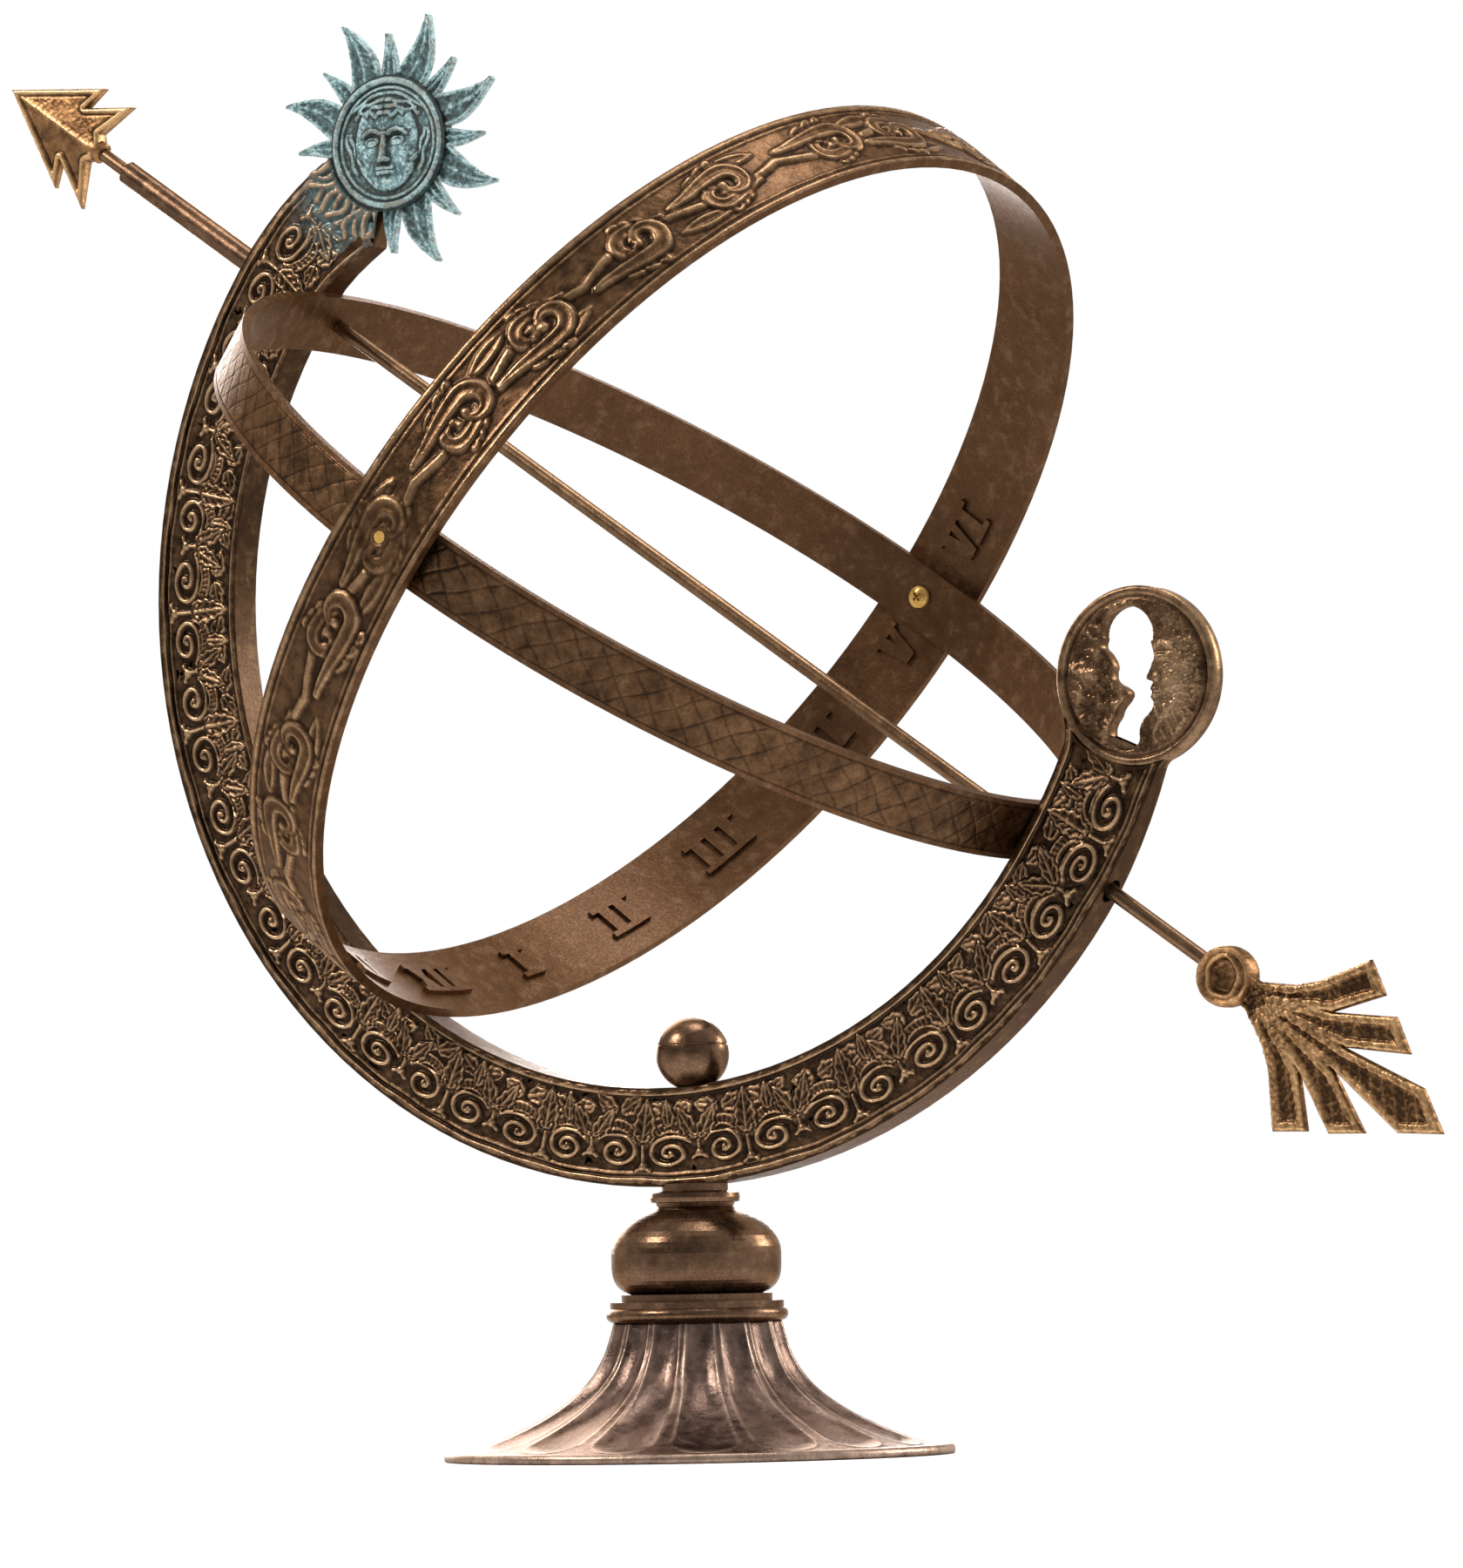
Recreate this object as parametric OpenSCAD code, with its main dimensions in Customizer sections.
// Armillary sundial: a turned foot carries a bronze meridian arc that turns to face true north.
// The arc holds an arrow-shaped gnomon, a polar ring turns on the gnomon,
// and the hour ring tips on two screws in the polar ring.
// Millimetres. Origin: foot of the pedestal axis. The arc lies in the XZ plane, sun end towards -X.

/* [Foot] */
// Radius of the flange that stands on the ground
flange_r = 106; // [100:1:115]
// Thickness of the flange
flange_h = 4; // [3:0.5:5]
// Height of the seam between the fluted foot and the collar
foot_top = 56; // [50:1:60]
// Radius of the fluted foot where it meets the collar
foot_top_r = 35; // [32:1:36]
// Number of concave flutes round the foot
flutes = 16; // [12:1:20]

/* [Pedestal] */
// Height of the collar, from the foot to the bulb
collar_h = 11.5; // [10:0.5:14]
// Largest radius of the collar
collar_r = 37.7; // [36:0.1:40]
// Largest radius of the bulb
bulb_r = 35.3; // [32:0.1:38]
// Height of the bulb
bulb_h = 34.9; // [32:0.1:38]
// Height of the neck above the bulb
neck_h = 10.8; // [9:0.1:12]
// Diameter of the stud that ties the pedestal together and carries the arc
stud_d = 8; // [6:1:8]
// Radius of the ball nut
ball_r = 15.2; // [14:0.1:17]

/* [Meridian arc] */
// Thickness of the arc
arc_t = 15.5; // [14:0.5:18]
// Radius of the arc's outer edge
arc_out_r = 253.5; // [252:0.5:258]
// Radius of the arc's inner edge
arc_in_r = 211; // [210:0.5:212]
// Width of the raised borders on both faces
rim_w = 3.5; // [2:0.5:5]
// Depth of the field between the borders
field_depth = 1.2; // [0.5:0.1:2]
// Angle of the sun's centre round the arc
sun_angle = 124.3; // [122:0.1:126]
// Angle of the moon's centre round the arc
moon_angle = -13.1; // [-15:0.1:-11]
// Radius of the sun's disc
sun_r = 29.3; // [26:0.1:31]
// Radius of the moon's disc
moon_r = 36.5; // [34:0.5:38]
// Thickness of the moon's disc
moon_t = 8; // [6:0.5:10]

/* [Dial] */
// Rise of the gnomon above the horizontal, in degrees
rod_rise = 34.5; // [33:0.5:36]
// How far the hour ring leans off square to the gnomon, in degrees
hour_lean = 3; // [0:0.5:4]
// Outer radius of the hour ring
hour_r = 215; // [214:0.5:215]
// Width of the hour ring's band
hour_w = 41; // [36:1:44]
// Outer radius of the polar ring
polar_r = 206.5; // [206:0.1:206.8]
// Width of the polar ring's band
polar_w = 26; // [22:1:28]
// Wall of both rings
ring_t = 4; // [3:0.5:4.5]
// Angle from one hour to the next
hour_step = 16.2; // [15:0.1:16.5]
// Height of the hour numerals
numeral_h = 18.5; // [14:0.5:22]
// Relief of the hour numerals
numeral_relief = 1.8; // [1:0.1:2.5]

/* [Gnomon] */
// Diameter of the rod
rod_d = 6; // [5:0.5:6]
// Outer diameter of the guide sleeve
sleeve_d = 10.4; // [9:0.1:11]
// Distance of the arrow's tip from the dial's centre
tip_at = 409; // [400:1:415]
// Distance of the tail's eye from the dial's centre
eye_at = 315; // [310:1:320]
// Thickness of the tail's feathers
feather_t = 5.5; // [4:0.5:7]

/* [Hidden] */
$fn = 96;

bronze = [0.42, 0.31, 0.21];
dark_bronze = [0.35, 0.26, 0.20];
verdigris = [0.36, 0.51, 0.49];
brass = [0.72, 0.55, 0.27];
steel = [0.55, 0.55, 0.55];

// A shaft that turns in a hole has this much room all round
running_gap = 0.05;
// A bolt that only passes through has this much room all round
loose_gap = 0.2;
// Cutters reach this far past the faces that they open
over = 1;

// Heights up the pedestal
bulb_z = foot_top + collar_h;
neck_z = bulb_z + bulb_h;
seat_z = neck_z + neck_h;

// Centres of the arc's two edges, which aren't quite concentric
out_x = -11;
out_z = 365.5;
in_x = -13;
in_z = 364;
// Centre of the rings, on the gnomon's axis
dial_x = -6;
dial_z = 369;
mid_r = (arc_out_r + arc_in_r) / 2;

sun_x = out_x + (mid_r + 3) * cos(sun_angle);
sun_z = out_z + (mid_r + 3) * sin(sun_angle);
moon_x = out_x + (mid_r + 1) * cos(moon_angle);
moon_z = out_z + (mid_r + 1) * sin(moon_angle);
sun_t = 8;

// Flat seats on the arc's edges
seat_r = 14.2;
ball_seat_z = in_z - sqrt(arc_in_r * arc_in_r - in_x * in_x) - 0.3;
ball_flat_r = 6.5;
ball_z = ball_seat_z + sqrt(ball_r * ball_r - ball_flat_r * ball_flat_r);
stud_top = ball_z + 5;
// The stud's nut and washer sit in the hollow under the foot
nut_ceiling = 40;
washer_h = 2;
nut_h = 6.5;

// Stations along the gnomon, measured from the dial's centre
north_seat = 214.3;
south_seat = 208.5;
spacer_start = polar_r + 0.6;
spacer_r = 6;
sleeve_end = 336;
bush_end = 232;
socket_start = tip_at - 57;
head_rear = tip_at - 52;

// The pivots between the rings, on the Y axis through the dial's centre
pivot_d = 5;
pivot_nut_h = 2.7;
pivot_washer_h = 1;
hour_in_r = hour_r - ring_t;
polar_in_r = polar_r - ring_t;
screw_head_r = 4.75;
screw_head_h = 3.2;
screw_seat = sqrt(polar_in_r * polar_in_r - screw_head_r * screw_head_r);

// Puts children in the dial's frame: +Z along the gnomon to the arrow head, +Y stays
module at_dial() {
    translate([dial_x, 0, dial_z]) rotate([0, rod_rise - 90, 0]) children();
}

// Puts children in the hour ring's frame: +Z along the ring's axis, +Y stays
module at_hours() {
    translate([dial_x, 0, dial_z]) rotate([0, rod_rise + hour_lean - 90, 0]) children();
}

// Stands a flat outline up in the XZ plane, centred on Y
module upright(thickness) {
    rotate([90, 0, 0]) linear_extrude(thickness, center = true) children();
}

// A straight tube or bar along Z between two stations
module bar(from, to, r, hole = 0) {
    translate([0, 0, from]) difference() {
        cylinder(r = r, h = to - from);
        if (hole > 0) {
            translate([0, 0, -over]) cylinder(r = hole, h = to - from + 2 * over);
        }
    }
}

// Foot

foot_rows = 10;
flute_steps = 6;
foot_around = flutes * flute_steps;
ridge_foot_r = 97;
lobe_r = 100;
// Share of the foot's height left at row k, closer together where the foot spreads
function foot_h(k) = pow(1 - k / foot_rows, 2);
function foot_z(k) = flange_h + (foot_top - flange_h) * foot_h(k);
function ridge_r(h) = foot_top_r + (ridge_foot_r - foot_top_r) * (0.2 * (1 - h) + 0.8 * pow(1 - h, 3));
function valley_r(h) =
    foot_top_r - 1.8 + (lobe_r - foot_top_r + 1.8) * (0.15 * (1 - h) + 0.85 * pow(1 - h, 3.6));
// 1 on the ridge between two flutes, 0 in the middle of a flute
function crest(i) = pow(2 * (i % flute_steps) / flute_steps - 1, 2);
function foot_radius(h, i) = valley_r(h) + (ridge_r(h) - valley_r(h)) * crest(i);
function foot_ring(h, z) = [
    for (i = [0:foot_around - 1])
        let (a = 360 * i / foot_around, r = foot_radius(h, i)) [r * cos(a), r * sin(a), z]
];

module flute_body() {
    rows = [for (k = [0:foot_rows]) foot_ring(foot_h(k), foot_z(k)), foot_ring(0, flange_h / 2)];
    count = len(rows);
    points = [for (row = rows) each row];
    sides = [
        for (k = [0:count - 2], i = [0:foot_around - 1])
            let (j = (i + 1) % foot_around, a = k * foot_around, b = a + foot_around)
                [a + i, a + j, b + j, b + i]
    ];
    top = [[for (i = [foot_around - 1:-1:0]) i]];
    bottom = [[for (i = [0:foot_around - 1]) (count - 1) * foot_around + i]];
    polyhedron(points, concat(top, sides, bottom), convexity = 6);
}

module fluted_foot() {
    chamfer = 1.5;
    color(bronze) difference() {
        union() {
            rotate_extrude() polygon([
                [0, 0], [flange_r, 0], [flange_r, flange_h - chamfer], [flange_r - chamfer, flange_h], [0, flange_h]
            ]);
            flute_body();
        }
        // The casting is hollow, with a thick crown for the stud
        rotate_extrude() polygon([
            [0, -over], [80, -over], [80, 2], [60, 8], [42, 18], [32, 34], [28, nut_ceiling], [0, nut_ceiling]
        ]);
        cylinder(r = stud_d / 2 + loose_gap, h = foot_top + over);
    }
}

// Pedestal

module collar() {
    bead = 3;
    color(dark_bronze) translate([0, 0, foot_top]) rotate_extrude() difference() {
        union() {
            square([collar_r - bead, 2 * bead]);
            translate([collar_r - bead, bead]) circle(r = bead, $fn = 32);
            translate([0, 2 * bead - 0.5]) square([collar_r - 1.7, 3]);
            translate([0, 2 * bead]) square([31.3, collar_h - 2 * bead]);
        }
        translate([-over, -over]) square([stud_d / 2 + loose_gap + over, collar_h + 2 * over]);
    }
}

// The bulb is fuller below its widest line than above it
bulb_widest = 17;
function bulb_low(t) = bulb_r * pow(1 - pow(t, 4), 0.25);
function bulb_high(t) = bulb_r * sqrt(1 - t * t);

module bulb() {
    steps = 12;
    reach_low = bulb_widest / 0.895;
    reach_high = (bulb_h - bulb_widest) / 0.879;
    low = [for (i = [0:steps]) let (z = bulb_widest * i / steps) [bulb_low((bulb_widest - z) / reach_low), z]];
    high = [
        for (i = [1:steps])
            let (z = (bulb_h - bulb_widest) * sin(90 * i / steps)) [bulb_high(z / reach_high), bulb_widest + z]
    ];
    bore = stud_d / 2 + loose_gap;
    color(bronze) translate([0, 0, bulb_z]) rotate_extrude()
        polygon(concat([[bore, 0]], low, high, [[bore, bulb_h]]));
}

module neck() {
    bore = stud_d / 2 + loose_gap;
    spigot = 13.7;
    color(bronze) translate([0, 0, neck_z]) rotate_extrude() polygon([
        [bore, 0], [16.8, 0], [15.7, 1.2], [16.4, 2.9], [18.2, 3.2], [18.6, 5], [18.2, 6.9],
        [14.8, 7.4], [spigot, 7.8], [spigot, neck_h], [bore, neck_h]
    ]);
}

module stud() {
    color(steel) bar(nut_ceiling - washer_h - nut_h - 2, stud_top, stud_d / 2);
}

module bottom_washer() {
    color(steel) bar(nut_ceiling - washer_h, nut_ceiling, 12, stud_d / 2 + loose_gap);
}

module bottom_nut() {
    across_corners = 15;
    top = nut_ceiling - washer_h;
    color(steel) difference() {
        translate([0, 0, top - nut_h]) cylinder(d = across_corners, h = nut_h, $fn = 6);
        cylinder(d = stud_d, h = nut_ceiling);
    }
}

module ball_nut() {
    groove = 0.5;
    color(dark_bronze) difference() {
        translate([0, 0, ball_z]) sphere(r = ball_r);
        translate([0, 0, ball_seat_z - ball_r]) cylinder(r = ball_r, h = ball_r);
        // A fine turned line above the ball's middle
        translate([0, 0, ball_z + 4]) rotate_extrude() translate([sqrt(ball_r * ball_r - 16), 0]) circle(r = groove, $fn = 16);
        translate([0, 0, ball_seat_z - over]) cylinder(r = stud_d / 2 + running_gap, h = stud_top - ball_seat_z + 2);
    }
}

// Meridian arc

// The band between the two edges, each moved in by the same margin
module band(margin) {
    difference() {
        translate([out_x, out_z]) circle(r = arc_out_r - margin, $fn = 180);
        translate([in_x, in_z]) circle(r = arc_in_r + margin, $fn = 180);
    }
}

function around(centre, r, a) = [centre[0] + r * cos(a), centre[1] + r * sin(a)];
out_c = [out_x, out_z];
in_c = [in_x, in_z];
sun_c = [sun_x, sun_z];
moon_c = [moon_x, moon_z];

// Everything that isn't arc: the open side, and the sector round the sun that its free rays fill
module open_side(spare) {
    reach = arc_out_r * 1.5;
    from = moon_angle - spare;
    to = sun_angle + spare;
    polygon(concat([out_c], [for (i = [0:6]) around(out_c, reach, from + (to - from) * i / 6)]));
    polygon(concat([sun_c], [for (i = [0:8]) around(sun_c, 70, -99 + 289 * i / 8)]));
}

// Where two circles cross, on the side given by 1 or -1
function meet(a, ra, b, rb, side) =
    let (d = norm(b - a), u = (b - a) / d, x = (ra * ra - rb * rb + d * d) / (2 * d), y = sqrt(ra * ra - x * x))
        a + x * u + side * y * [-u[1], u[0]];

// Fills the corner between the moon's disc and one edge of the arc, with a hollow curve
module neck_fillet(centre, edge_r, f, reach) {
    bite = 0.3;
    hub = meet(centre, edge_r + reach * (f - bite), moon_c, moon_r + f - bite, -1);
    edge_way = (hub - centre) / norm(hub - centre);
    moon_way = (hub - moon_c) / norm(hub - moon_c);
    deep_edge = centre + edge_way * (edge_r - reach * 5);
    deep_moon = moon_c + moon_way * (moon_r - 5);
    inner = moon_c + (deep_edge - moon_c) * 0.7;
    difference() {
        polygon([deep_edge, hub, deep_moon, inner]);
        translate(hub) circle(r = f, $fn = 60);
    }
}

// The inner edge swells towards the sun, to the width of its disc
swell = 8;
swell_from = 142;
module sun_swell() {
    span = 19;
    function depth(t) = swell * t * t * (3 - 2 * t);
    edge = [for (i = [0:8]) let (t = i / 8) around(in_c, arc_in_r - depth(min(1, t * 1.35)), swell_from - span * t)];
    back = [for (i = [8:-4:0]) around(in_c, arc_in_r + 8, swell_from - span * i / 8)];
    polygon(concat(edge, back));
}

// The outer edge draws in a little towards the sun
module sun_draw_in() {
    edge = [for (i = [0:5]) around(out_c, arc_out_r + 0.05 - 4.5 * i * i / 25, 140 - 12 * i / 5)];
    polygon(concat(edge, [around(out_c, arc_out_r + 20, 128), around(out_c, arc_out_r + 20, 140)]));
}

// The arc before its ends are thinned and its faces worked
module arc_blank() {
    difference() {
        union() {
            upright(arc_t) band(0);
            upright(arc_t) sun_swell();
            upright(arc_t) neck_fillet(out_c, arc_out_r, 9, 1);
            upright(arc_t) neck_fillet(in_c, arc_in_r, 24, -1);
        }
        upright(arc_t + 2) sun_draw_in();
        upright(arc_t + 2) open_side(0);
        upright(arc_t + 2) translate(sun_c) circle(r = sun_r);
        upright(arc_t + 2) translate(moon_c) circle(r = moon_r);
    }
}

// Both ends of the arc thin down to the discs that they carry
taper_l = 45;
module end_taper(end_angle, toward, disc_r, end_t, inset) {
    start = end_angle - toward * (disc_r + taper_l) / mid_r * 180 / PI;
    slope = atan((arc_t - end_t) / 2 / taper_l);
    translate([out_x, 0, out_z]) rotate([0, -start, 0]) for (side = [-1, 1]) {
        translate([mid_r, side * (arc_t / 2 - inset), 0]) rotate([toward * side * slope, 0, 0])
            translate([-50, side > 0 ? 0 : -20, toward > 0 ? -3 : -117]) cube([100, 20, 120]);
    }
}

// Both tapers, cut an inset deeper than the arc's own faces
module tapers(inset) {
    end_taper(moon_angle, 1, moon_r, 9, inset);
    end_taper(sun_angle, -1, sun_r, 8, inset);
}

module meridian_arc() {
    // The field stops this far from the sun's disc
    sun_margin = 12;
    color(bronze) difference() {
        arc_blank();
        tapers(0);
        // The field lies below the borders on both faces
        difference() {
            upright(arc_t + 4) difference() {
                band(rim_w);
                open_side(1);
                translate(sun_c) circle(r = sun_r + sun_margin);
                translate(moon_c) circle(r = moon_r + 1.5);
            }
            difference() {
                upright(arc_t - 2 * field_depth) band(rim_w - 1.5);
                tapers(field_depth);
            }
        }
        // Seats for the neck and the ball nut, and the stud's bore
        translate([0, 0, seat_z - 20]) cylinder(r = seat_r, h = 20);
        translate([0, 0, ball_seat_z]) cylinder(r = seat_r, h = 20);
        cylinder(r = stud_d / 2 + running_gap, h = ball_seat_z + over);
        // Seats and bores along the gnomon
        at_dial() {
            bar(spacer_start - 8, north_seat, spacer_r + 0.6);
            bar(north_seat - over, 290, sleeve_d / 2);
            bar(-south_seat, 8 - spacer_start, spacer_r + 0.6);
            bar(-290, over - south_seat, sleeve_d / 2);
            translate([0, 0, lock_at]) rotate([90, 0, 0]) cylinder(d = lock_d, h = arc_t);
        }
    }
}

// A ray leaves the disc along +X: it sways one way and hooks back at its tip
function ray_sway(u, bend) = bend * (0.6 - 4 * u * (1 - u));
function ray_half(u, width) = width / 2 * pow(1 - u, 0.85) * (1 + 0.25 * sin(180 * u)) + 0.7;
module ray(length, width, bend) {
    steps = 8;
    root = sun_r - 3;
    low = [for (i = [0:steps]) let (u = i / steps) [root + u * length, ray_sway(u, bend) - ray_half(u, width)]];
    high = [for (i = [steps:-1:0]) let (u = i / steps) [root + u * length, ray_sway(u, bend) + ray_half(u, width)]];
    polygon(concat(low, high));
}

// The ray's crest runs down its middle, and both sides slope away from it
module ray_solid(length, width, bend) {
    root = sun_r - 3;
    crest = ray_t / 2;
    foot = crest - 1.3;
    intersection() {
        rotate([90, 0, 0]) linear_extrude(2 * crest, center = true) ray(length, width, bend);
        translate([root - 1, 0, 0.2 * bend]) rotate([90, 0, 90]) linear_extrude(length + 3)
            polygon([[-foot, -width], [-crest, 0], [-foot, width], [foot, width], [crest, 0], [foot, -width]]);
    }
}

ray_count = 16;
// Rays that the arc's end leaves no room for
hidden_rays = [9, 10, 11];
ray_t = 5;

module sun() {
    rim_bead = 1.4;
    field = 1.2;
    face_r = 20;
    face_rise = 4;
    dome_r = (face_r * face_r + face_rise * face_rise) / (2 * face_rise);
    color(verdigris) translate([sun_x, 0, sun_z]) {
        difference() {
            union() {
                upright(sun_t) circle(r = sun_r);
                for (i = [0:ray_count - 1]) {
                    if (len(search(i, hidden_rays)) == 0) {
                        rotate([0, -360 * i / ray_count, 0]) if (i % 2 == 0) {
                            ray_solid(20.5, 7, 1);
                        } else {
                            ray_solid(30.5, 14, 3);
                        }
                    }
                }
            }
            // The field round the face lies below the rim on both sides
            for (side = [-1, 1]) {
                translate([0, side * (sun_t / 2 - field + 2), 0]) upright(4) circle(r = sun_r - 4);
            }
        }
        for (side = [0, 180]) {
            rotate([90, 0, side]) {
                translate([0, 0, sun_t / 2 - 0.4]) rotate_extrude() translate([sun_r - 2, 0]) circle(r = rim_bead, $fn = 24);
                intersection() {
                    translate([0, 0, sun_t / 2 - field + face_rise - dome_r]) sphere(r = dome_r);
                    cylinder(r = face_r, h = 20);
                }
            }
        }
    }
}

// The cut-out: a round head above, broken rock on the left and a plain profile on the right
brow_z = 12;
face_third = 13.5;
nose_z = brow_z - face_third;
chin_z = nose_z - face_third;
module moon_cutout() {
    translate([-3.5, 16.5]) circle(r = 12, $fn = 48);
    polygon([
        [-15, 16], [-16.5, 12.5], [-13, 9.5], [-10.5, 5], [-11.6, 1.5], [-10.8, -2], [-6, -4.2], [-3.6, -6.8],
        [-5.2, -9.6], [-8.6, -13], [-9.4, -16], [-12.4, -19.5], [-12.6, -24], [-10, -27.6], [-6, -29.8], [-1, -29.2],
        [1.6, -26], [1.2, -22], [2, -19.6], [4.2, chin_z - 1.6], [6.4, chin_z], [7.9, chin_z + 2.4],
        [8.1, chin_z + 4.4], [6.7, nose_z - 7.6], [6.6, nose_z - 6.6], [7.8, nose_z - 5.4], [6.7, nose_z - 4.2],
        [6.7, nose_z - 3.2], [8.3, nose_z - 1], [5.6, nose_z - 0.4], [4.8, nose_z + 0.8], [5.6, nose_z + 2.2],
        [8.2, nose_z + 7], [8.8, brow_z - 3.6], [8.3, brow_z - 1.6], [7.4, brow_z + 0.4], [7.4, brow_z + 2], [8.4, 18]
    ]);
}

module moon_disc() {
    color(bronze) translate([moon_x, 0, moon_z]) difference() {
        upright(moon_t) difference() {
            circle(r = moon_r);
            moon_cutout();
        }
        for (side = [-1, 1]) {
            translate([0, side * (moon_t - 0.8 + over) / 2, 0]) upright(0.8 + over) difference() {
                circle(r = moon_r - 3);
                circle(r = moon_r - 4.6);
            }
        }
    }
}

module guide_sleeve() {
    color(dark_bronze) at_dial() bar(north_seat, sleeve_end, sleeve_d / 2, rod_d / 2 + 2 * running_gap);
}

module north_spacer() {
    color(dark_bronze) at_dial() bar(spacer_start, north_seat, spacer_r, rod_d / 2 + 2 * running_gap);
}

module south_bush() {
    color(dark_bronze) at_dial() difference() {
        union() {
            bar(-south_seat, -spacer_start, spacer_r);
            bar(-bush_end, -south_seat, sleeve_d / 2);
        }
        bar(-bush_end - over, over - spacer_start, rod_d / 2 + 2 * running_gap);
    }
}

// The grub screw that holds the south bush, in the arc's front face
lock_at = -219;
lock_d = 4;
module lock_screw() {
    head = arc_t / 2 - field_depth - 0.2;
    color(steel) at_dial() difference() {
        translate([0, 0, lock_at]) rotate([90, 0, 0]) cylinder(d = lock_d, h = head);
        translate([0, 0, lock_at]) rotate([90, 0, 0]) translate([0, 0, head - 1]) cylinder(d = 2.3, h = 3, $fn = 6);
        bar(lock_at - lock_d, lock_at + lock_d, sleeve_d / 2);
    }
}

// Gnomon

module gnomon_rod() {
    color(bronze) at_dial() bar(10 - eye_at, head_rear + 5, rod_d / 2);
}

// Half outline of the arrow head, from tip to socket: distance off the axis, station
head_half = [
    [0, tip_at], [25, tip_at - 43], [12.5, tip_at - 38.5], [25.5, tip_at - 60.5], [7, tip_at - 51.5], [4, tip_at - 54]
];
module head_outline() {
    polygon(concat(head_half, [for (i = [len(head_half) - 1:-1:1]) [-head_half[i][0], head_half[i][1]]]));
}

// The sunk fields, one each side of the middle ridge
module head_field() {
    for (side = [-1, 1]) {
        polygon([for (p = [[1.2, tip_at - 9], [15, tip_at - 33], [8.5, tip_at - 32], [8.5, tip_at - 42], [1.2, tip_at - 46]])
            [side * p[0], p[1]]]);
    }
}

// A solid that is thick along the gnomon and thins towards the barbs
module head_roof(ridge, edge) {
    translate([0, 0, tip_at - 70]) linear_extrude(80) polygon([
        [-28, -edge], [0, -ridge], [28, -edge], [28, edge], [0, ridge], [-28, edge]
    ]);
}

module arrow_head() {
    color(bronze) at_dial() difference() {
        union() {
            intersection() {
                upright(12) head_outline();
                head_roof(4.6, 2.2);
            }
            bar(socket_start, head_rear + 2, 4.8);
        }
        intersection() {
            upright(12) head_field();
            difference() {
                head_roof(6, 6);
                head_roof(3.9, 1.4);
            }
        }
        bar(socket_start - over, head_rear + 5, rod_d / 2);
    }
}

// Feathers: each is a blade from the root to its outer corners, mirrored about the gnomon's line.
// Points are distance behind the eye, distance off the axis.
blade_top = [[14, 6.5], [28, 14], [36, 21], [51, 40.5], [64, 32], [48, 14], [20, 0]];
blade_next = [[20, 4], [48, 14], [72.5, 27.5], [86, 18.5], [61, 5.5], [20, -2]];
blade_mid = [[20, 4], [60, 5], [98, 10.5], [115, 0], [98, -10.5], [60, -5], [20, -4]];

module blade(points, side) {
    polygon([for (p = points) [side * p[1], -p[0]]]);
}

module tail_outline() {
    translate([0, -eye_at]) {
        polygon([[-6, 0], [6, 0], [6.5, -14], [13, -34], [5, -60], [-5, -60], [-13, -34], [-6.5, -14]]);
        blade(blade_mid, 1);
        for (side = [-1, 1]) {
            blade(blade_top, side);
            blade(blade_next, side);
        }
    }
}

module arrow_tail() {
    eye_r = 12.4;
    eye_t = 13;
    dish_r = 7;
    color(bronze) at_dial() difference() {
        union() {
            upright(feather_t) tail_outline();
            upright(eye_t) translate([0, -eye_at]) circle(r = eye_r);
        }
        for (side = [-1, 1]) {
            translate([0, side * eye_t / 2, 0]) upright(3) translate([0, -eye_at]) circle(r = dish_r, $fn = 48);
        }
        bar(10 - eye_at, 40 - eye_at, rod_d / 2);
    }
}

// Rings

// Half a lipped band: lips on the outside, plain inside, for rotate_extrude
module band_section(r, width, lip, sunk) {
    half = width / 2;
    polygon([
        [r - ring_t, -half], [r, -half], [r, -half + lip], [r - sunk, -half + lip + sunk],
        [r - sunk, half - lip - sunk], [r, half - lip], [r, half], [r - ring_t, half]
    ]);
}

module polar_ring() {
    color(bronze) at_dial() difference() {
        rotate([0, 90, 0]) rotate_extrude($fn = 180) band_section(polar_r, polar_w, 2, 0.4);
        bar(-polar_r - over, polar_r + over, rod_d / 2 + 2 * running_gap);
        rotate([90, 0, 0]) bar(-polar_r - over, polar_r + over, pivot_d / 2);
    }
}

// Repeats children at the east and west pivots, with +Z pointing out from the centre
module at_pivots() {
    at_dial() for (side = [90, -90]) rotate([side, 0, 0]) children();
}

module pivot_screws() {
    slot = 1.1;
    slot_l = 4.6;
    color(brass) at_pivots() difference() {
        union() {
            bar(screw_seat, hour_r - 0.4, pivot_d / 2);
            translate([0, 0, screw_seat]) rotate([180, 0, 0]) rotate_extrude() intersection() {
                translate([0, screw_head_h - 8]) circle(r = 8);
                square([screw_head_r, screw_head_h]);
            }
        }
        for (turn = [0, 90]) {
            rotate([0, 0, turn + 20]) translate([-slot_l / 2, -slot / 2, screw_seat - screw_head_h - over])
                cube([slot_l, slot, 1.8 + over]);
        }
    }
}

module jam_nuts() {
    across_corners = 9;
    color(brass) at_pivots() translate([0, 0, polar_r]) difference() {
        cylinder(d = across_corners, h = pivot_nut_h, $fn = 6);
        translate([0, 0, -over]) cylinder(d = pivot_d, h = pivot_nut_h + 2 * over);
    }
}

module pivot_washers() {
    from = polar_r + pivot_nut_h;
    color(brass) at_pivots() bar(from, from + pivot_washer_h, 4.8, pivot_d / 2 + running_gap);
}

module hour_ring() {
    color(bronze) at_hours() difference() {
        rotate_extrude($fn = 180) band_section(hour_r, hour_w, 2.2, 0.8);
        rotate([90, 0, 0]) bar(-hour_r - over, hour_r + over, pivot_d / 2 + running_gap);
    }
}

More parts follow.
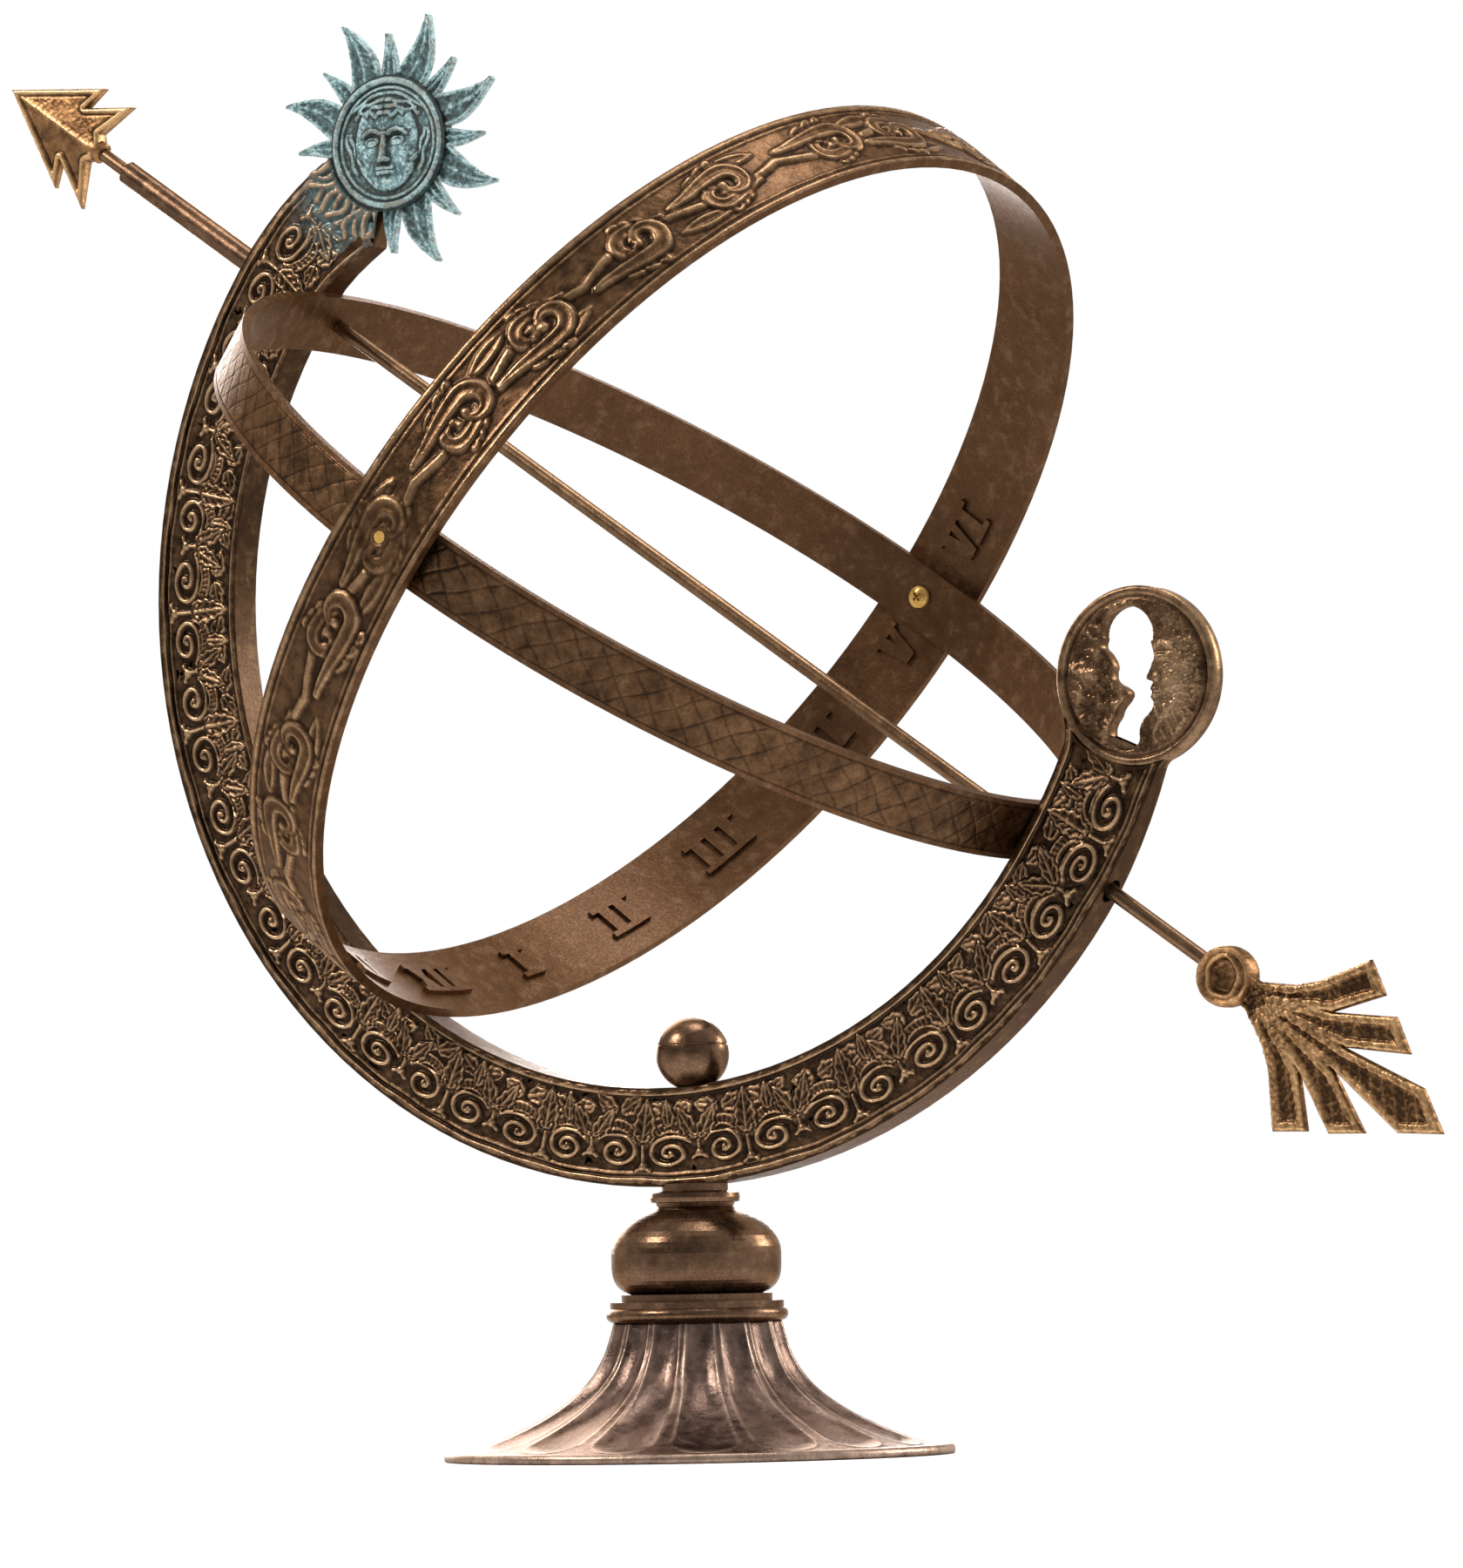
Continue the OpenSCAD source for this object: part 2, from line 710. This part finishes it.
// Numerals: chunky raised strokes, joined at head and foot by their serifs
stroke_w = 5.4;
thin_w = 3.6;
serif_h = 2.8;
hours = ["VI", "VII", "VIII", "IX", "X", "XI", "XII", "I", "II", "III", "IIII", "V", "VI"];
noon_angle = 178;
noon_index = 6;
function glyph_w(c) = c == "I" ? 8.2 : 13;
function width_before(word, i) = i == 0 ? 0 : glyph_w(word[i - 1]) + width_before(word, i - 1);

// One slanting or upright stroke; offsets run in the reading direction
module stroke(foot, head, width) {
    top = numeral_h / 2 - 0.3;
    polygon([[foot - width / 2, -top], [foot + width / 2, -top], [head + width / 2, top], [head - width / 2, top]]);
}

module serif(level, width) {
    translate([0, level * (numeral_h - serif_h) / 2]) square([width, serif_h], center = true);
}

module glyph(c) {
    if (c == "I") {
        stroke(0, 0, stroke_w);
        serif(1, 12);
        serif(-1, 12);
    }
    if (c == "V") {
        stroke(-0.6, -3.6, stroke_w);
        stroke(0.8, 4.4, thin_w);
        serif(1, 15.4);
    }
    if (c == "X") {
        stroke(3.6, -3.6, stroke_w);
        stroke(-4, 4, thin_w);
        serif(1, 14.6);
        serif(-1, 14.6);
    }
}

// The raised letters follow the curve of the hour ring's inner wall
module hour_numerals() {
    color(bronze) at_hours() for (h = [0:len(hours) - 1]) {
        word = hours[h];
        whole = width_before(word, len(word));
        rotate([0, 0, noon_angle - (h - noon_index) * hour_step]) intersection() {
            translate([hour_in_r + 2, 0, 0]) rotate([90, 0, -90]) linear_extrude(12) {
                for (i = [0:len(word) - 1]) {
                    translate([width_before(word, i) + glyph_w(word[i]) / 2 - whole / 2, 0]) glyph(word[i]);
                }
            }
            difference() {
                cylinder(r = hour_in_r, h = hour_w, center = true, $fn = 180);
                cylinder(r = hour_in_r - numeral_relief, h = hour_w + over, center = true, $fn = 180);
            }
        }
    }
}

fluted_foot();
collar();
bulb();
neck();
stud();
bottom_washer();
bottom_nut();
meridian_arc();
sun();
moon_disc();
guide_sleeve();
north_spacer();
south_bush();
lock_screw();
ball_nut();
gnomon_rod();
arrow_head();
arrow_tail();
polar_ring();
pivot_screws();
jam_nuts();
pivot_washers();
hour_ring();
hour_numerals();
